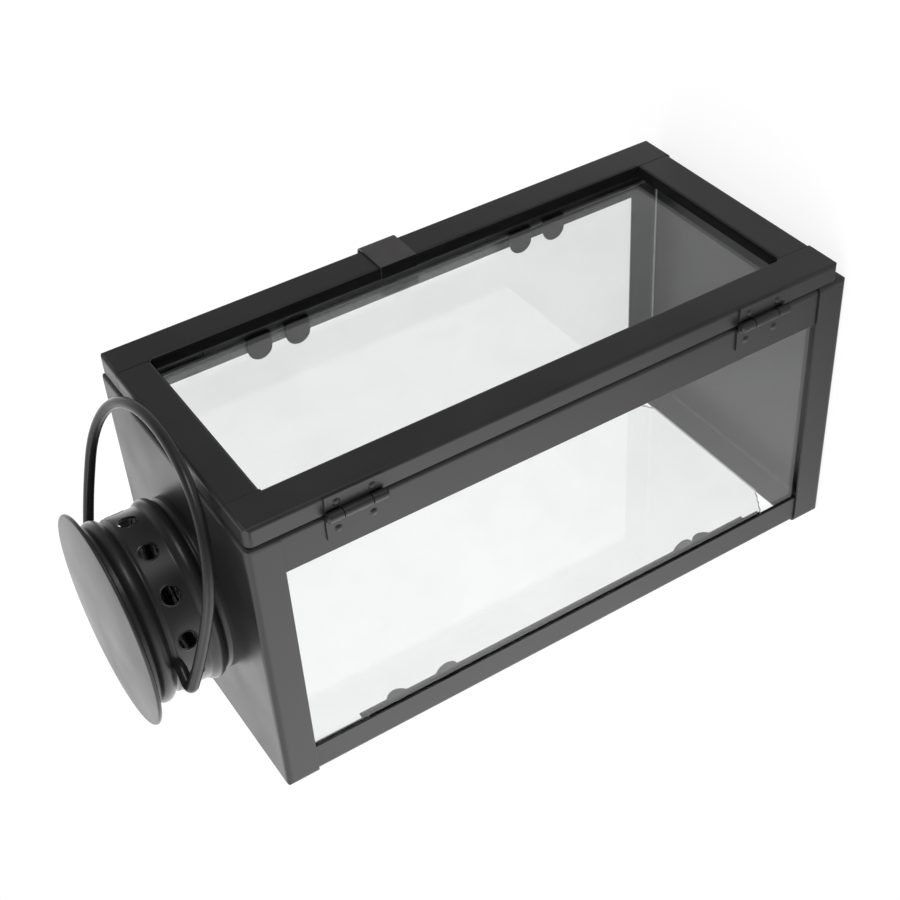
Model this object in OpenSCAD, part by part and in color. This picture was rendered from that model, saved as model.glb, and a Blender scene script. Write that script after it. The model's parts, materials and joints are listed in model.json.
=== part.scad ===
// Candle lantern: a folded sheet-steel body with three glass panes, a hinged
// glazed door, a beaded chimney with vents and a swinging wire bail.
// Millimetres. The origin is the middle of the base on the table, +Z is up
// and the door closes the -Y side.

/* [Body] */
// Height of the body, from the table to the top of the roof
body_h = 247; // [215:1:300]
// Width of the body over the base and the roof
body_w = 112.6; // [100:0.5:140]
// Depth of the body over the base and the roof
body_d = 116; // [100:0.5:140]
// Thickness of the sheet steel
sheet_t = 0.8; // [0.6:0.05:1]
// Height of the turned-up edge of the base
base_flange = 13; // [9:0.5:16]
// Height of the turned-down edge of the roof
roof_flange = 12.6; // [9:0.5:16]
// Inside radius of the bends round the base and the roof
pan_bend = 1.7; // [1:0.1:2.2]
// Inside radius of the upright corners of the base and the roof
pan_corner = 2; // [0.8:0.1:2.1]

/* [Posts] */
// Inside radius of the bend along a post
post_bend = 1.4; // [1.3:0.1:1.8]
// Reach of a front post along the side, from the front of the body
front_post_side = 16.4; // [15:0.1:20]
// Reach of a front post across the front, from the side of the body
front_post_face = 11; // [8:0.1:14]
// Reach of a back post along the side, from the back of the body
back_post_side = 13.3; // [10:0.1:15]
// Reach of a back post across the back, from the side of the body
back_post_face = 12.6; // [10:0.1:15]

/* [Panes] */
// Thickness of the window glass
glass_t = 2; // [1.6:0.1:2.4]
// Distance of a side pane's front edge from the front of the body
side_pane_front = 10.6; // [9:0.1:13]
// Distance of the panes' edges from the two faces of a back corner
pane_corner_gap = 6.4; // [5.5:0.1:8]
// Clearance between the faces of a pane and the metal they lie against
pane_rest = 0.05; // [0.05:0.05:0.2]
// Room between a pane's upper edge and the roof
pane_head_room = 0.6; // [0.3:0.1:2]
// Height of the back pane's lower edge above the table
back_pane_foot = 14.8; // [4:0.1:20]
// Width of the nipped lower corners of the back pane
nip_w = 16; // [4:0.5:24]
// Height of the nipped lower corners of the back pane
nip_h = 10; // [4:0.5:16]

/* [Retaining strips] */
// Length of a front strip
front_strip_len = 175; // [150:1:190]
// Length of a back strip
back_strip_len = 180; // [150:1:195]
// Distance of a front strip's hidden edge from the front of the body
front_strip_edge = 3.4; // [3.4:0.1:5]
// Distance of the strips' middle below the body's middle
strip_drop = 2.5; // [0:0.5:8]
// Distance of the back tabs' middle above the strip's middle
back_tab_rise = 2.5; // [0:0.5:6]
// Width of a tab that holds the glass
tab_w = 10; // [6:0.5:14]
// Half the distance between the outer tabs of a front strip
front_tab_outer = 66.4; // [60:0.2:70]
// Half the distance between the inner tabs of a front strip
front_tab_inner = 50.4; // [30:0.2:53]
// Half the distance between the tabs on the back pane
back_tab_half = 71.5; // [60:0.5:74]
// Half the distance between a back strip's tabs on the side pane
side_tab_half = 54.6; // [40:0.2:58]
// Reach of the right front tabs, from the front of the body
front_tab_reach = 19.7; // [18:0.1:24]
// Reach of the left front tabs, which the post hides
hidden_tab_reach = 15.4; // [15:0.1:16.2]
// Reach of the tabs on the back pane, from the side of the body
back_tab_reach = 15.7; // [14.5:0.1:20]
// Reach of a back strip's tabs on the side pane, from the back of the body
side_tab_reach = 18.8; // [14.5:0.1:20]
// Width of strip that shows past the edge of a back post
strip_show = 0.7; // [0.2:0.1:1.5]

/* [Door] */
// Depth of the door, from its face to the front of the body
door_t = 7.9; // [7.6:0.1:10]
// Height of the door's lower edge above the table
door_lift = 5; // [2:0.1:10]
// Rise of the lower member's edge above the ends of the upright members
rail_rise = 0.8; // [0.2:0.1:1.5]
// Drop from the top of the roof to the door's upper edge
door_drop = 1; // [0.5:0.1:4]
// Clear gap between the closed door and the body
door_gap = 0.6; // [0.4:0.05:0.8]
// Width of the door's upright members
stile_w = 15.1; // [13:0.1:18]
// Height of the door's upper member
top_rail_h = 13.4; // [12:0.1:18]
// Height of the door's lower member
bottom_rail_h = 15.4; // [12:0.1:18]
// Depth of the folded return round the door's window
door_return = 4.6; // [3:0.1:4.8]
// Inside radius of the door's bends
door_bend = 0.8; // [0.5:0.1:1]
// Inside radius of the door's four corners
door_corner = 2; // [0.9:0.1:2.4]
// Distance of the door pane's edges from the door's edges
door_pane_edge = 5.8; // [5.4:0.1:7]
// Width of a clip that holds the door pane
clip_w = 8; // [5:0.5:12]
// Thickness of a clip that holds the door pane
clip_t = 0.6; // [0.4:0.05:0.7]
// Reach of a clip, from the edge of the door
clip_reach = 12.4; // [10:0.1:12.8]
// Half the distance between the two clips on a stile
clip_half = 60; // [40:1:70]

/* [Hinges] */
// Half the distance between the two hinges
hinge_half = 83.4; // [75:0.2:86]
// Distance of the hinges' middle below the door's middle
hinge_drop = 0.8; // [0:0.2:6]
// Length of a hinge along its pin
hinge_len = 21.2; // [16:0.2:26]
// Radius of the hinge pin
pin_r = 0.9; // [0.7:0.05:1.1]
// Thickness of the hinge leaves
leaf_t = 0.8; // [0.6:0.05:0.9]
// Height of the head on each end of the pin
pin_head_h = 0.7; // [0.4:0.1:1]
// Distance from the hinge axis to the door leaf's far edge
door_leaf_reach = 7.3; // [6.8:0.1:7.4]
// Distance from the hinge axis to the body leaf's far edge
body_leaf_reach = 11.2; // [10.6:0.1:14]
// Distance of the door leaf's rivets from the hinge axis
door_rivet_at = 4.2; // [4:0.1:4.8]
// Distance of the body leaf's rivets from the hinge axis
body_rivet_at = 7.7; // [6:0.1:8.6]
// Distance of a rivet from the middle of its leaf, along the pin
rivet_half = 6.5; // [5:0.1:7]
// Radius of a rivet's shank
rivet_r = 0.8; // [0.6:0.05:0.9]
// Radius of a rivet's head
rivet_head_r = 1.5; // [1.3:0.05:1.7]
// Height of a rivet's head
rivet_head_h = 0.7; // [0.4:0.05:0.8]

/* [Latch strap] */
// Width of the strap along the door's edge
strap_w = 15.4; // [10:0.2:20]
// Distance of the strap's middle above the door's middle
strap_rise = 6.9; // [-20:0.5:20]
// Distance of the strap from the side of the door
strap_stand_off = 1.4; // [0.5:0.1:1.8]
// Inside radius of the strap's bend round the door's edge
strap_bend = 1.8; // [1.7:0.1:3]
// Distance the strap reaches back past the front of the body
strap_reach = 6.5; // [5:0.5:12]
// Outside radius of the rib pressed into the strap
strap_rib = 1.8; // [1.5:0.1:2]
// Outside radius of the curled finger lip
strap_lip = 2.6; // [2:0.1:4]

/* [Chimney] */
// Height of the tube, from the roof to the edge of the cap
tube_h = 32.6; // [31:0.2:36]
// Outside radius of the tube between its beads
tube_r = 32.6; // [28:0.1:34]
// Height of the lower bead's middle above the roof
low_bead_z = 6.7; // [6.4:0.1:7.4]
// Height of the upper bead's middle above the roof
high_bead_z = 26.2; // [25.8:0.1:26.6]
// Distance a bead stands out from the tube
bead_out = 1.6; // [1:0.1:2]
// Radius of a bead's round back
bead_round = 3.5; // [3:0.1:4]
// Height of the lower groove's middle above the roof
low_groove_z = 3.2; // [3:0.1:3.4]
// Height of the upper groove's middle above the roof
high_groove_z = 22.3; // [22:0.1:22.6]
// Depth of a groove
groove_in = 0.6; // [0.3:0.1:0.8]
// Radius of a groove's round bottom
groove_round = 1.2; // [1:0.1:1.6]
// Radius of a vent hole
vent_r = 2.75; // [2:0.05:3]
// Number of vent holes
vent_count = 12; // [6:1:16]
// Height of the vent holes above the roof
vent_z = 16.3; // [15:0.1:16.4]
// Angle from the +X side to the first vent hole
vent_turn = 13; // [0:1:30]
// Height of the collar that the tube stands round
collar_h = 1.9; // [1:0.1:2]

/* [Cap] */
// Radius of the cap
cap_r = 39.7; // [38:0.1:40.5]
// Rise of the cap's dome from edge to middle
cap_rise = 1.3; // [0.8:0.1:2.5]
// Radius of the rolled bead round the cap's edge
cap_roll = 0.75; // [0.6:0.05:1]
// Height of the skirt that plugs the tube
cap_skirt = 3; // [2:0.1:4]

/* [Bail] */
// Radius of the bail's wire
wire_r = 2; // [1.6:0.05:2.1]
// Height of the bail's pivot above the roof
pivot_z = 21.7; // [21.2:0.1:21.9]
// Radius of the top arc of the bail's centre line
bail_top_r = 60; // [55:0.5:65]
// Distance from the pivot to the middle of the top arc's circle
bail_top_c = 13.9; // [12:0.1:16]
// Half the angle of the top arc
bail_top_angle = 20.8; // [18:0.2:24]
// Radius of the shoulders of the bail's centre line
bail_shoulder_r = 40.9; // [39:0.1:42]
// Radius of the lower legs of the bail's centre line
bail_leg_r = 150; // [140:1:170]
// Radius of the elbows at the foot of the legs
bail_elbow_r = 3.2; // [3:0.1:4]
// Distance from the tube's axis to where the bail's ends begin to droop
bail_straight = 35; // [34.6:0.1:35.6]
// Angle by which the wire droops between the tube and an elbow
bail_droop = 22; // [14:1:24]
// Radius of the bend into the droop
bail_droop_r = 3; // [2.6:0.1:4]
// Distance from the tube's axis to the bail's ends
bail_end = 29.5; // [28:0.1:30]

/* [Fits] */
// Radial clearance of a pin or wire that turns in its hole
turn_fit = 0.08; // [0.03:0.01:0.1]
// Clearance of parts that slide or drop into one another
slide_fit = 0.15; // [0.1:0.05:0.25]
// Clearance between the edge of a pane and the metal beside it
glass_fit = 0.4; // [0.2:0.05:0.6]
// Clearance of moving parts that pass each other
swing_fit = 0.3; // [0.3:0.05:0.5]

/* [Hidden] */
$fn = 96;

// Colours
steel_black = [0.11, 0.11, 0.115];
steel_worn = [0.17, 0.17, 0.175];
window_tint = [0.86, 0.92, 0.9, 0.45];

// Body
side_x = body_w / 2;
front_y = -body_d / 2;
back_y = body_d / 2;
post_skin = 2 * sheet_t;
bend_lift = pan_bend - sqrt(pow(pan_bend, 2) - pow(max(0, pan_bend - sheet_t), 2));
pane_foot = sheet_t + bend_lift;
pane_head = body_h - sheet_t - bend_lift - pane_head_room;
pan_turn = pan_bend + sheet_t;

// Retaining strips
strip_mid = body_h / 2 - strip_drop;
strip_depth = post_skin + glass_t + 2 * pane_rest;
strip_step = strip_depth + sheet_t - post_skin;
tab_r = tab_w / 2;
front_strip_stop = side_pane_front - glass_fit;
back_strip_stop = pane_corner_gap - glass_fit;

// Door
door_w = body_w;
door_top = body_h - door_drop;
door_len = door_top - door_lift;
door_mid = (door_top + door_lift) / 2;
door_y = front_y - door_t;
door_depth = door_t - door_gap;
door_round = door_bend + sheet_t;
window_x = door_w / 2 - stile_w;
rail_low = door_lift + rail_rise;
window_low = rail_low + bottom_rail_h;
window_high = door_top - top_rail_h;
seam = slide_fit;

// Hinges
barrel_r = pin_r + turn_fit + leaf_t;
hinge_off = barrel_r + swing_fit;
hinge_x = -door_w / 2 - hinge_off;
hinge_y = front_y - door_gap / 2;
hinge_mid = door_mid - hinge_drop;
leaf_start = barrel_r + swing_fit;
knuckle_gap = swing_fit;

// Latch strap
strap_mid = door_mid + strap_rise;
strap_in = side_x + strap_stand_off;
strap_out = strap_in + sheet_t;

// Chimney and cap
tube_inner_r = tube_r - sheet_t;
collar_r = tube_inner_r - slide_fit;
throat_r = collar_r - sheet_t;
dome_r = (pow(cap_r - cap_roll, 2) + pow(cap_rise, 2)) / (2 * cap_rise);
cap_edge_z = body_h + tube_h;
dome_c = cap_edge_z + cap_rise - dome_r;
tube_top = dome_c + sqrt(pow(dome_r, 2) - pow(tube_r, 2));

// Bail
hub_z = body_h + pivot_z;
bail_reach = bail_top_c + bail_top_r;
shoulder_u = (bail_top_r - bail_shoulder_r) * sin(bail_top_angle);
shoulder_w = bail_top_c + (bail_top_r - bail_shoulder_r) * cos(bail_top_angle);
leg_u = shoulder_u + bail_shoulder_r - bail_leg_r;
leg_span = bail_leg_r - bail_elbow_r;
droop_u = bail_straight + bail_droop_r * sin(bail_droop);
droop_w = bail_droop_r * (1 - cos(bail_droop));
elbow_in = leg_u - bail_elbow_r * sin(bail_droop) - droop_u;
elbow_up = shoulder_w - bail_elbow_r * cos(bail_droop) + droop_w;
leg_share = (elbow_up * cos(bail_droop) + elbow_in * sin(bail_droop)) / leg_span;
leg_angle = bail_droop + asin(leg_share);
elbow_u = leg_u + leg_span * cos(leg_angle);
elbow_w = shoulder_w - leg_span * sin(leg_angle);
droop_len = (elbow_u - bail_elbow_r * sin(bail_droop) - droop_u) / cos(bail_droop);
lap_len = 0.3;
lap_step = 0.03;
bail_lean = acos((door_top + wire_r + swing_fit - hub_z) / bail_reach);

// ---- Folded-sheet helpers ----

// Rectangle with its two lower corners rounded
module bent_outline(w, h, r) {
    translate([-w / 2 + r, 0]) square([w - 2 * r, h]);
    translate([-w / 2, r]) square([w, h - r]);
    for (s = [-1, 1]) translate([s * (w / 2 - r), r]) circle(r);
}

// Rectangle with four rounded corners
module rounded_rect(w, d, r) {
    square([w - 2 * r, d], center = true);
    square([w, d - 2 * r], center = true);
    for (sx = [-1, 1], sy = [-1, 1]) {
        translate([sx * (w / 2 - r), sy * (d / 2 - r)]) circle(r);
    }
}

// Block with its foot edges and its upright edges rounded
module soft_block(w, d, h, foot_r, corner_r) {
    intersection() {
        linear_extrude(h) rounded_rect(w, d, corner_r);
        rotate([90, 0, 0]) linear_extrude(d, center = true) bent_outline(w, h, foot_r);
        rotate([90, 0, 90]) linear_extrude(w, center = true) bent_outline(d, h, foot_r);
    }
}

// Open tray of sheet: a floor with a turned-up edge all round
module tray(w, d, h, bend, corner) {
    difference() {
        soft_block(w, d, h, bend + sheet_t, corner + sheet_t);
        translate([0, 0, sheet_t]) {
            soft_block(w - 2 * sheet_t, d - 2 * sheet_t, h, bend, corner);
        }
    }
}

// Rectangle a by b from the origin, with the corner at the origin rounded
module corner_block(a, b, r) {
    translate([r, 0]) square([a - r, b]);
    translate([0, r]) square([a, b - r]);
    translate([r, r]) circle(r);
}

// L section with its bend at the origin and legs of length a and b
module angle_section(a, b, bend) {
    difference() {
        corner_block(a, b, bend + sheet_t);
        translate([sheet_t, sheet_t]) corner_block(a, b, bend);
    }
}

// Quarter ring about the origin, in the +X +Y quadrant
module quarter_ring(inner_r, outer_r) {
    intersection() {
        difference() {
            circle(outer_r);
            circle(inner_r);
        }
        square(outer_r);
    }
}

// ---- Body ----

module base_pan() {
    color(steel_black) tray(body_w, body_d, base_flange, pan_bend, pan_corner);
}

module roof_pan() {
    color(steel_black) {
        difference() {
            translate([0, 0, body_h]) mirror([0, 0, 1]) {
                tray(body_w, body_d, roof_flange, pan_bend, pan_corner);
            }
            translate([0, 0, body_h - roof_flange]) cylinder(r = throat_r, h = 2 * roof_flange);
        }
        difference() {
            translate([0, 0, body_h - sheet_t]) cylinder(r = collar_r, h = sheet_t + collar_h);
            translate([0, 0, body_h - roof_flange]) cylinder(r = throat_r, h = 2 * roof_flange);
        }
    }
}

// Puts a shape drawn from a corner of the body at the corner on side sx, sy
module at_corner(sx, sy) {
    mirror([sx > 0 ? 1 : 0, 0, 0]) mirror([0, sy > 0 ? 1 : 0, 0]) {
        translate([-side_x, front_y, 0]) children();
    }
}

// Post in the corner frame, with face_reach along X and side_reach along Y
module post(face_reach, side_reach) {
    translate([sheet_t, sheet_t, pan_turn]) linear_extrude(body_h - 2 * pan_turn) {
        angle_section(face_reach - sheet_t, side_reach - sheet_t, post_bend);
    }
}

module front_post(sx) {
    color(steel_black) at_corner(sx, -1) post(front_post_face, front_post_side);
}

module post_front_left() {
    difference() {
        front_post(-1);
        body_rivet_holes();
    }
}

module post_front_right() {
    front_post(1);
}

module back_post(sx) {
    color(steel_black) at_corner(sx, 1) post(back_post_face, back_post_side);
}

module post_back_left() {
    back_post(-1);
}

module post_back_right() {
    back_post(1);
}

// ---- Panes ----

module side_pane(sx) {
    len = body_d - side_pane_front - pane_corner_gap;
    color(window_tint) at_corner(sx, -1) {
        translate([post_skin + pane_rest, side_pane_front, pane_foot]) {
            cube([glass_t, len, pane_head - pane_foot]);
        }
    }
}

module glass_left() {
    side_pane(-1);
}

module glass_right() {
    side_pane(1);
}

module glass_back() {
    half = side_x - pane_corner_gap;
    outline = [
        [-half, pane_head], [-half, back_pane_foot + nip_h], [-half + nip_w, back_pane_foot],
        [half - nip_w, back_pane_foot], [half, back_pane_foot + nip_h], [half, pane_head]
    ];
    color(window_tint) translate([0, back_y - post_skin - pane_rest, 0]) {
        rotate([90, 0, 0]) linear_extrude(glass_t) polygon(outline);
    }
}

// ---- Retaining strips ----

// Tab in the strip's plane: from x = start to a round tip at x = reach
module tab_outline(start, reach) {
    translate([start, -tab_r]) square([reach - tab_r - start, tab_w]);
    translate([reach - tab_r, 0]) circle(tab_r);
}

// Front strip in the corner frame, flat on the post with four joggled tabs
// that reach as far as given
module front_strip(reach) {
    translate([post_skin, front_strip_edge, strip_mid - front_strip_len / 2]) {
        cube([sheet_t, front_strip_stop - front_strip_edge, front_strip_len]);
    }
    for (z = [-front_tab_outer, -front_tab_inner, front_tab_inner, front_tab_outer]) {
        translate([0, 0, strip_mid + z]) {
            translate([post_skin, front_strip_stop - sheet_t, -tab_r]) {
                cube([strip_step, sheet_t, tab_w]);
            }
            translate([strip_depth, 0, 0]) rotate([90, 0, 90]) linear_extrude(sheet_t) {
                tab_outline(front_strip_stop - sheet_t, reach);
            }
        }
    }
}

// Section of a back strip, from the corner of the body: an L in the corner
// of the post, stepped over the edges of both panes
module back_strip_section() {
    translate([post_skin, post_skin]) {
        angle_section(back_strip_stop - post_skin, back_strip_stop - post_skin, post_bend);
    }
    translate([back_strip_stop - sheet_t, post_skin]) square([sheet_t, strip_step]);
    translate([post_skin, back_strip_stop - sheet_t]) square([strip_step, sheet_t]);
    translate([back_strip_stop - sheet_t, strip_depth]) {
        square([back_post_face + strip_show - back_strip_stop + sheet_t, sheet_t]);
    }
    translate([strip_depth, back_strip_stop - sheet_t]) {
        square([sheet_t, back_post_side + strip_show - back_strip_stop + sheet_t]);
    }
}

// Back strip in the corner frame, with two tabs on each of its panes
module back_strip() {
    tab_mid = strip_mid + back_tab_rise;
    translate([0, 0, strip_mid - back_strip_len / 2]) {
        linear_extrude(back_strip_len) back_strip_section();
    }
    for (z = [-back_tab_half, back_tab_half]) translate([0, strip_depth, tab_mid + z]) {
        mirror([0, 1, 0]) rotate([90, 0, 0]) linear_extrude(sheet_t) {
            tab_outline(back_strip_stop, back_tab_reach);
        }
    }
    for (z = [-side_tab_half, side_tab_half]) translate([strip_depth, 0, tab_mid + z]) {
        rotate([90, 0, 90]) linear_extrude(sheet_t) {
            tab_outline(back_strip_stop, side_tab_reach);
        }
    }
}

module strip_front_left() {
    color(steel_black) at_corner(-1, -1) front_strip(hidden_tab_reach);
}

module strip_front_right() {
    color(steel_black) at_corner(1, -1) front_strip(front_tab_reach);
}

module strip_back_left() {
    color(steel_black) at_corner(-1, 1) back_strip();
}

module strip_back_right() {
    color(steel_black) at_corner(1, 1) back_strip();
}

// ---- Chimney ----

// Half section of the tube's skin, filled to the axis and drawn in by inset
module tube_outline(inset) {
    bead_c = tube_r + bead_out - bead_round;
    groove_c = tube_r - groove_in + groove_round;
    difference() {
        union() {
            square([tube_r - inset, tube_top - body_h]);
            for (z = [low_bead_z, high_bead_z]) translate([bead_c, z]) circle(bead_round - inset);
        }
        for (z = [low_groove_z, high_groove_z]) translate([groove_c, z]) circle(groove_round + inset);
    }
}

module chimney_tube() {
    color(steel_black) difference() {
        translate([0, 0, body_h]) rotate_extrude() difference() {
            tube_outline(0);
            tube_outline(sheet_t);
        }
        for (i = [0 : vent_count - 1]) {
            translate([0, 0, body_h + vent_z]) rotate([0, 90, vent_turn + i * 360 / vent_count]) {
                cylinder(r = vent_r, h = tube_r + bead_out + sheet_t);
            }
        }
        translate([0, 0, hub_z]) rotate([0, 90, 0]) {
            cylinder(r = wire_r + turn_fit, h = 2 * (tube_r + bead_out + sheet_t), center = true);
        }
    }
}

module chimney_cap() {
    skirt_top = tube_top + sheet_t / 2;
    color(steel_black) {
        rotate_extrude() intersection() {
            translate([0, dome_c]) difference() {
                circle(dome_r + sheet_t, $fn = 1440);
                circle(dome_r, $fn = 1440);
            }
            translate([0, cap_edge_z - sheet_t]) square([cap_r - cap_roll, cap_rise + 3 * sheet_t]);
        }
        translate([0, 0, cap_edge_z + sheet_t / 2]) rotate_extrude() {
            translate([cap_r - cap_roll, 0]) circle(cap_roll);
        }
        difference() {
            translate([0, 0, tube_top - cap_skirt]) cylinder(r = collar_r, h = skirt_top - tube_top + cap_skirt);
            translate([0, 0, tube_top - 2 * cap_skirt]) cylinder(r = throat_r, h = 3 * cap_skirt);
        }
    }
}

// ---- Bail ----

// Arc of wire in the XZ plane about the origin, from angle a to angle b
module wire_arc(radius, a, b) {
    rotate([90, 0, 0]) rotate([0, 0, a]) rotate_extrude(angle = b - a) {
        translate([radius, 0]) circle(wire_r);
    }
}

// The same arc as a tongue: a hair thinner and lapped into its neighbours, so
// that the bends join the longer arcs as one solid
module lapped_arc(radius, a, b) {
    lap = lap_len / radius * 180 / PI;
    rotate([90, 0, 0]) rotate([0, 0, a - lap]) rotate_extrude(angle = b - a + 2 * lap) {
        translate([radius, 0]) circle(wire_r - lap_step);
    }
}

// One side of the bail in the XZ plane: shoulder, leg, elbow, the drooping
// wire and the straight end that turns in the tube
module bail_side() {
    translate([shoulder_u, 0, shoulder_w]) lapped_arc(bail_shoulder_r, 0, 90 - bail_top_angle);
    translate([leg_u, 0, shoulder_w]) wire_arc(bail_leg_r, -leg_angle, 0);
    translate([elbow_u, 0, elbow_w]) lapped_arc(bail_elbow_r, -90 - bail_droop, -leg_angle);
    translate([droop_u, 0, -droop_w]) rotate([0, 90 + bail_droop, 0]) {
        cylinder(r = wire_r, h = droop_len);
    }
    translate([bail_straight, 0, -bail_droop_r]) lapped_arc(bail_droop_r, 90 - bail_droop, 90);
    translate([bail_end, 0, 0]) rotate([0, 90, 0]) {
        cylinder(r = wire_r, h = bail_straight - bail_end);
    }
}

module bail_handle() {
    color(steel_black) translate([0, 0, hub_z]) rotate([bail_lean, 0, 0]) {
        translate([0, 0, bail_top_c]) {
            wire_arc(bail_top_r, 90 - bail_top_angle, 90 + bail_top_angle);
        }
        bail_side();
        mirror([1, 0, 0]) bail_side();
    }
}

// ---- Door ----

// Whole front of the door down to z = low as one tray, before its window is
// cut
module door_tray(low) {
    translate([0, door_y, (door_top + low) / 2]) rotate([-90, 0, 0]) {
        tray(door_w, door_top - low, door_depth, door_bend, door_corner);
    }
}

// Section of a window edge: the bend and the return behind it. The window
// lies on the -X side and the door's face on the -Y side.
module return_section() {
    translate([door_round, door_round]) rotate(180) quarter_ring(door_bend, door_round);
    translate([0, door_round]) square([sheet_t, door_return - door_round]);
}

module stile(sx) {
    window_h = window_high - window_low;
    mirror([sx > 0 ? 0 : 1, 0, 0]) {
        difference() {
            intersection() {
                door_tray(door_lift);
                translate([window_x, door_y, door_lift]) cube([stile_w, door_t, door_len]);
            }
            translate([window_x, door_y, window_low]) cube([door_round, door_t, window_h]);
        }
        translate([window_x, door_y, window_low]) linear_extrude(window_h) return_section();
    }
}

module door_stile_hinge() {
    color(steel_black) difference() {
        stile(-1);
        door_rivet_holes();
    }
}

module door_stile_latch() {
    color(steel_black) stile(1);
}

// Rail of the door: up = 1 for the upper one, -1 for the lower one
module rail(up, height) {
    half = window_x - seam;
    edge = up > 0 ? door_top - height : rail_low + height;
    difference() {
        intersection() {
            door_tray(rail_low);
            translate([-half, door_y, up > 0 ? edge : rail_low]) cube([2 * half, door_t, height]);
        }
        translate([-half, door_y, up > 0 ? edge : edge - door_round]) {
            cube([2 * half, door_t, door_round]);
        }
    }
    translate([-half, door_y, edge]) mirror([0, 0, up > 0 ? 0 : 1]) {
        rotate([90, 0, 90]) linear_extrude(2 * half) mirror([1, -1]) return_section();
    }
}

module door_rail_top() {
    color(steel_black) rail(1, top_rail_h);
}

module door_rail_bottom() {
    color(steel_black) rail(-1, bottom_rail_h);
}

module door_glass() {
    w = door_w - 2 * door_pane_edge;
    foot = rail_low + door_pane_edge;
    color(window_tint) translate([-w / 2, door_y + door_return + pane_rest, foot]) {
        cube([w, glass_t, door_top - door_pane_edge - foot]);
    }
}

// Section of a clip, from the door's edge inwards along X and from its face
// back along Y
module clip_section() {
    riser_at = door_pane_edge - glass_fit - clip_t;
    tab_at = door_return + glass_t + 2 * pane_rest;
    foot_at = door_round + slide_fit;
    translate([foot_at, sheet_t]) square([riser_at + clip_t - foot_at, clip_t]);
    translate([riser_at, sheet_t]) square([clip_t, tab_at + clip_t - sheet_t]);
    translate([riser_at, tab_at]) square([clip_reach - riser_at, clip_t]);
}

module clip() {
    linear_extrude(clip_w, center = true) clip_section();
}

module door_glass_clips() {
    color(steel_worn) {
        for (sx = [-1, 1], z = [-clip_half, clip_half]) mirror([sx > 0 ? 1 : 0, 0, 0]) {
            translate([-door_w / 2, door_y, door_mid + z]) clip();
        }
        translate([0, door_y, rail_low]) rotate([0, -90, 0]) clip();
        translate([0, door_y, door_top]) rotate([0, 90, 0]) clip();
    }
}

// ---- Latch strap ----

// Section of the strap in the XY plane, hooked over the latch stile: a hook
// in the window, a flat on the face, a bend round the edge, a tail along the
// body with a pressed rib, and a lip curled out for the finger
module strap_section() {
    bend_o = strap_bend + sheet_t;
    bend_x = strap_out - bend_o;
    face_y = door_y - sheet_t;
    bend_y = face_y + bend_o;
    tail_y = front_y + strap_reach;
    rib_y = tail_y - strap_rib - sheet_t;
    hook_x = window_x - sheet_t;
    translate([hook_x, face_y]) square([sheet_t, door_return + sheet_t - slide_fit]);
    translate([hook_x, face_y]) square([bend_x - hook_x, sheet_t]);
    translate([bend_x, bend_y]) mirror([0, 1]) quarter_ring(strap_bend, bend_o);
    difference() {
        union() {
            translate([strap_in, bend_y]) square([sheet_t, tail_y - bend_y]);
            intersection() {
                translate([strap_out, rib_y]) circle(strap_rib);
                translate([strap_out - strap_rib, rib_y - strap_rib]) square([strap_rib, 2 * strap_rib]);
            }
        }
        translate([strap_out, rib_y]) circle(strap_rib - sheet_t);
    }
    translate([strap_in + strap_lip, tail_y]) mirror([1, 0]) {
        quarter_ring(strap_lip - sheet_t, strap_lip);
    }
}

module door_latch() {
    color(steel_black) translate([0, 0, strap_mid]) {
        linear_extrude(strap_w, center = true) strap_section();
    }
}

// ---- Hinges ----

// Places its children on the hinge axis, at the middle of hinge up = 1 or -1
module at_hinge(up) {
    translate([hinge_x, hinge_y, hinge_mid + up * hinge_half]) children();
}

// Slice of the hinge's length between two shares of it, with running gaps
module knuckle_slice(from, to) {
    low = (from - 0.5) * hinge_len + (from > 0 ? knuckle_gap / 2 : 0);
    high = (to - 0.5) * hinge_len - (to < 1 ? knuckle_gap / 2 : 0);
    translate([0, 0, low]) linear_extrude(high - low) children();
}

// Section of a knuckle with its finger, towards +Y, reaching to y = reach
module knuckle_section(reach) {
    difference() {
        union() {
            circle(barrel_r);
            translate([hinge_off - leaf_t, 0]) square([leaf_t, reach]);
        }
        circle(pin_r + turn_fit);
    }
}

module rivet_holes(leaf_x, rivet_y) {
    for (z = [-rivet_half, rivet_half]) translate([leaf_x - leaf_t, rivet_y, z]) rotate([0, 90, 0]) {
        cylinder(r = rivet_r + turn_fit, h = leaf_t + post_skin);
    }
}

module door_rivet_holes() {
    for (up = [-1, 1]) at_hinge(up) rivet_holes(hinge_off, -door_rivet_at);
}

module body_rivet_holes() {
    for (up = [-1, 1]) at_hinge(up) rivet_holes(hinge_off + sheet_t, body_rivet_at);
}

// Leaf on the door: a plate flat on the stile, with the middle knuckle
module door_leaf() {
    difference() {
        union() {
            translate([hinge_off - leaf_t, -door_leaf_reach, -hinge_len / 2]) {
                cube([leaf_t, door_leaf_reach - leaf_start, hinge_len]);
            }
            mirror([0, 1, 0]) knuckle_slice(0.25, 0.75) knuckle_section(leaf_start);
        }
        rivet_holes(hinge_off, -door_rivet_at);
    }
}

// Leaf on the body: a plate stepped down onto the post, with the two outer
// knuckles
module body_leaf() {
    difference() {
        union() {
            translate([hinge_off + sheet_t - leaf_t, leaf_start, -hinge_len / 2]) {
                cube([leaf_t, body_leaf_reach - leaf_start, hinge_len]);
            }
            translate([hinge_off - leaf_t, leaf_start, -hinge_len / 2]) {
                cube([leaf_t + sheet_t, leaf_t, hinge_len]);
            }
            for (part = [[0, 0.25], [0.75, 1]]) {
                knuckle_slice(part[0], part[1]) knuckle_section(leaf_start);
            }
        }
        rivet_holes(hinge_off + sheet_t, body_rivet_at);
    }
}

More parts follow.
